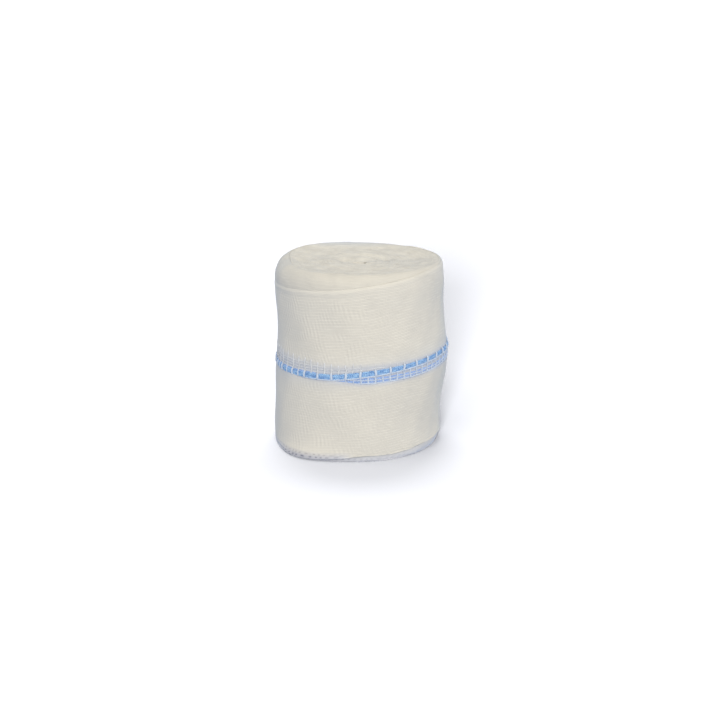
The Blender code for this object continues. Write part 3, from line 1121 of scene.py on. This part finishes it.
def build_ladder(sizes, colours):
    """Threads of the open band. Light ones cross the marker yarn; between and beside them run
    plainer ones that end in the knit at the reach of the band. Fine threads run along it, and
    dive into the cloth where the band doesn't reach them."""
    crossings, rungs = [], []

    def cross(group, place, low, high, width, lift, end=0.5 * MM):
        """A thread over the band, from low to high round the marker line, whose two ends dive
        into the cloth."""
        across = np.linspace(low, high, 41)
        sway = 0.0006 * waves(int(place * 977), 3, 3 * MM, 9 * MM, across)
        turn = place + sway
        tip = np.clip(np.minimum(across - low, high - across) / end, 0, 1)
        over = 0.40 * MM * np.exp(-((across / (1.3 * MM)) ** 4)) * (lift > 0.01 * MM)
        up = -0.16 * MM + (0.16 * MM + lift) * tip + over
        middle, normal = on_last_turn(turn, last_table(turn, "marker") + across, up, sizes)
        width = width * (0.35 + 0.65 * eased(tip))
        group.append(thread(middle, normal, width, 0.6 * width, 6))

    for place, number in zip(*crossing_turns(2)):
        above, below = float(last_table(place, "above")), float(last_table(place, "below"))
        ghost = eased((angle_of(place) - GHOST_FROM) / math.radians(20))
        width = sizes.ladder * (1.35 - 0.85 * ghost)
        cross(rungs, place, -0.9 * MM, above + 1.0 * MM, width, 0.0, 1.2 * MM)
        width = sizes.ladder * (0.6 + 0.9 * ghost)
        cross(crossings, place, -below + 0.2 * MM, 0.4 * MM, width, -0.03 * MM)
        if number % 2 == 0 or angle_of(place) < HALF_CROSSINGS:
            width = sizes.crossing * (0.7 if number % 2 else 1.0)
            cross(crossings, place, -1.5 * MM, 1.5 * MM, width, 0.02 * MM)
    finish_threads("crossing_threads", crossings, "crossing_finish", colours.crossing)
    finish_threads("ladder_threads", rungs, "ladder_finish", colours.ladder)

    turn = np.linspace(LAST_START, TURNS, 36 * 10)
    angle = angle_of(turn)
    marker, under = last_table(turn, "marker"), last_table(turn, "under")
    crossing = near_crossing(turn, 0.5 * MM)
    between = near_crossing(turn, 0.5 * MM, shift=0.5)

    def along_band(offset, seed, size, lift, shown):
        sway = 0.05 * MM * waves(seed, 5, 4 * MM, 12 * MM, turn * TAU * MEAN_RADIUS)
        up = lift + 0.10 * MM * (crossing + between) - 0.5 * MM * (1 - shown)
        middle, normal = on_last_turn(turn, marker + offset + sway, up, sizes)
        return thread(middle, normal, size, size * 0.8, 5)

    parts = []
    for number, offset in enumerate((1.7, 2.8, 3.9, 5.0)):
        shown = eased((last_table(turn, "above") - offset * MM) / (1.5 * MM))
        parts.append(along_band(offset * MM, 101 + number, sizes.fine, -0.09 * MM, shown))
    finish_threads("band_threads", parts, "fine_finish", colours.ladder)

    beside = eased((angle + math.radians(48)) / math.radians(20))
    apart = eased((marker - under - 1.4 * MM) / (1.2 * MM))
    parts = [
        along_band(-1.15 * MM, 107, 2.2 * sizes.fine, 0.10 * MM, beside),
        along_band(under - marker, 109, 1.4 * sizes.fine, 0.0, apart),
        along_band(under - marker - 1.25 * MM, 111, 1.6 * sizes.fine, -0.04 * MM, apart),
    ]
    finish_threads("edge_threads", parts, "edge_finish", colours.crossing)


# ---------------------------------------------------------------- stage

def build_sky(scene, studio):
    """A sky that is warm in front of the roll, cool behind it and dim below the horizon."""
    world = bpy.data.worlds.new("studio")
    world.use_nodes = True
    scene.world = world
    tree = world.node_tree
    background = tree.nodes["Background"]
    place = tree.nodes.new("ShaderNodeTexCoord")
    way = tree.nodes.new("ShaderNodeSeparateXYZ")
    tree.links.new(place.outputs["Generated"], way.inputs[0])
    height = Value(tree, way.outputs["Z"])
    front = (Value(tree, way.outputs["Y"]) * -0.5 + height * 1.1 + 0.5).clamped()
    above = (height * 1.6 + 0.75).clamped()
    tint = tree.nodes.new("ShaderNodeMix")
    tint.data_type = "RGBA"
    tree.links.new(front.socket, tint.inputs[0])
    tint.inputs[6].default_value = SKY_BEHIND
    tint.inputs[7].default_value = SKY_IN_FRONT
    tree.links.new(tint.outputs[2], background.inputs["Color"])
    strength = (above * 0.62 + 0.38) * (1.0 - height.clamped() * 0.22) * studio.sky
    tree.links.new(strength.socket, background.inputs["Strength"])


def add_sun(name, energy, turned, raised, spread, tint):
    """A sun, turned from the front towards the right and raised, both in degrees."""
    light = bpy.data.lights.new(name, "SUN")
    light.energy = energy
    light.angle = math.radians(spread)
    light.color = tint
    lamp = bpy.data.objects.new(name, light)
    turned, raised = math.radians(turned), math.radians(raised)
    towards = Vector((
        math.sin(turned) * math.cos(raised), -math.cos(turned) * math.cos(raised), math.sin(raised)
    ))
    lamp.location = towards
    lamp.rotation_euler = towards.to_track_quat("Z", "Y").to_euler()
    bpy.context.scene.collection.objects.link(lamp)
    return lamp


def build_stage(studio):
    """A wide pale floor, soft light from above, a soft key light, the suns of the floor, and
    the camera."""
    scene = bpy.context.scene
    scene.view_settings.view_transform = "Standard"
    build_sky(scene, studio)

    mesh = bpy.data.meshes.new("floor")
    corners = ((-1, -1), (1, -1), (1, 1), (-1, 1))
    mesh.from_pydata(
        [(FLOOR_REACH * x, FLOOR_REACH * y, 0) for x, y in corners], [], [(0, 1, 2, 3)]
    )
    floor = bpy.data.objects.new("floor", mesh)
    scene.collection.objects.link(floor)
    material = bpy.data.materials.new("floor")
    material.use_nodes = True
    tree = material.node_tree
    tree.nodes.remove(tree.nodes["Principled BSDF"])
    diffuse = tree.nodes.new("ShaderNodeBsdfDiffuse")
    diffuse.inputs["Color"].default_value = FLOOR_COLOUR
    tree.links.new(diffuse.outputs[0], tree.nodes["Material Output"].inputs["Surface"])
    mesh.materials.append(material)
    floor.visible_diffuse = False

    add_sun("key", studio.key, 11.5, 18, 32, KEY_TINT)
    for name, energy, turned, raised, spread in FLOOR_SUNS:
        lamp = add_sun(name, energy, turned, raised, spread, FLOOR_SUN_TINT)
        lit = bpy.data.collections.new(name)
        lit.objects.link(floor)
        lamp.light_linking.receiver_collection = lit

    data = bpy.data.cameras.new("camera")
    data.lens = studio.lens
    data.sensor_width = 36.0
    data.clip_start, data.clip_end = 0.01, 100.0
    camera = bpy.data.objects.new("camera", data)
    target = Vector(CAMERA_TARGET)
    back = Vector((0, -math.cos(studio.elevation), math.sin(studio.elevation)))
    camera.location = target + back * studio.distance
    camera.rotation_euler = back.to_track_quat("Z", "Y").to_euler()
    scene.collection.objects.link(camera)
    scene.camera = camera


# ---------------------------------------------------------------- operators and panel

class BandageStep:
    """What the operators that build pieces share."""

    def execute(self, context):
        self.build(context.scene.bandage_sizes, context.scene.bandage_colours)
        return {"FINISHED"}


class BANDAGE_OT_wound_turns(BandageStep, bpy.types.Operator):
    """Add the inner turns"""

    bl_idname = "bandage.wound_turns"
    bl_label = "Wound Turns"
    build = staticmethod(build_wound_turns)


class BANDAGE_OT_under_turn(BandageStep, bpy.types.Operator):
    """Add the turn that curls over the shoulder"""

    bl_idname = "bandage.under_turn"
    bl_label = "Under Turn"
    build = staticmethod(build_under_turn)


class BANDAGE_OT_last_turn(BandageStep, bpy.types.Operator):
    """Add the last turn with its open band"""

    bl_idname = "bandage.last_turn"
    bl_label = "Last Turn"
    build = staticmethod(build_last_turn)


class BANDAGE_OT_marker(BandageStep, bpy.types.Operator):
    """Add the blue marker yarn"""

    bl_idname = "bandage.marker"
    bl_label = "Marker Yarn"
    build = staticmethod(build_marker)


class BANDAGE_OT_ladder(BandageStep, bpy.types.Operator):
    """Add the threads of the open band"""

    bl_idname = "bandage.ladder"
    bl_label = "Ladder Threads"
    build = staticmethod(build_ladder)


class BANDAGE_OT_stage(bpy.types.Operator):
    """Add the floor, the light and the camera"""

    bl_idname = "bandage.stage"
    bl_label = "Studio"

    def execute(self, context):
        build_stage(context.scene.bandage_studio)
        return {"FINISHED"}


STEPS = (
    BANDAGE_OT_wound_turns,
    BANDAGE_OT_under_turn,
    BANDAGE_OT_last_turn,
    BANDAGE_OT_marker,
    BANDAGE_OT_ladder,
    BANDAGE_OT_stage,
)


class BANDAGE_PT_panel(bpy.types.Panel):
    """Lists the steps and their settings"""

    bl_idname = "BANDAGE_PT_panel"
    bl_label = "Gauze Bandage Roll"
    bl_space_type = "VIEW_3D"
    bl_region_type = "UI"
    bl_category = "Bandage"

    def draw(self, context):
        for step in STEPS:
            self.layout.operator(step.bl_idname)
        for group in GROUPS:
            box = self.layout.box()
            settings = getattr(context.scene, group)
            for name in type(settings).__annotations__:
                box.prop(settings, name)


GROUPS = {
    "bandage_sizes": BandageSizes,
    "bandage_colours": BandageColours,
    "bandage_studio": BandageStudio,
}
CLASSES = (*GROUPS.values(), *STEPS, BANDAGE_PT_panel)


def register():
    for cls in CLASSES:
        bpy.utils.register_class(cls)
    for name, group in GROUPS.items():
        setattr(bpy.types.Scene, name, PointerProperty(type=group))


def unregister():
    for name in GROUPS:
        delattr(bpy.types.Scene, name)
    for cls in reversed(CLASSES):
        bpy.utils.unregister_class(cls)


def main():
    register()
    bpy.ops.bandage.wound_turns()
    bpy.ops.bandage.under_turn()
    bpy.ops.bandage.last_turn()
    bpy.ops.bandage.marker()
    bpy.ops.bandage.ladder()
    bpy.ops.bandage.stage()


if __name__ == "__main__":
    main()
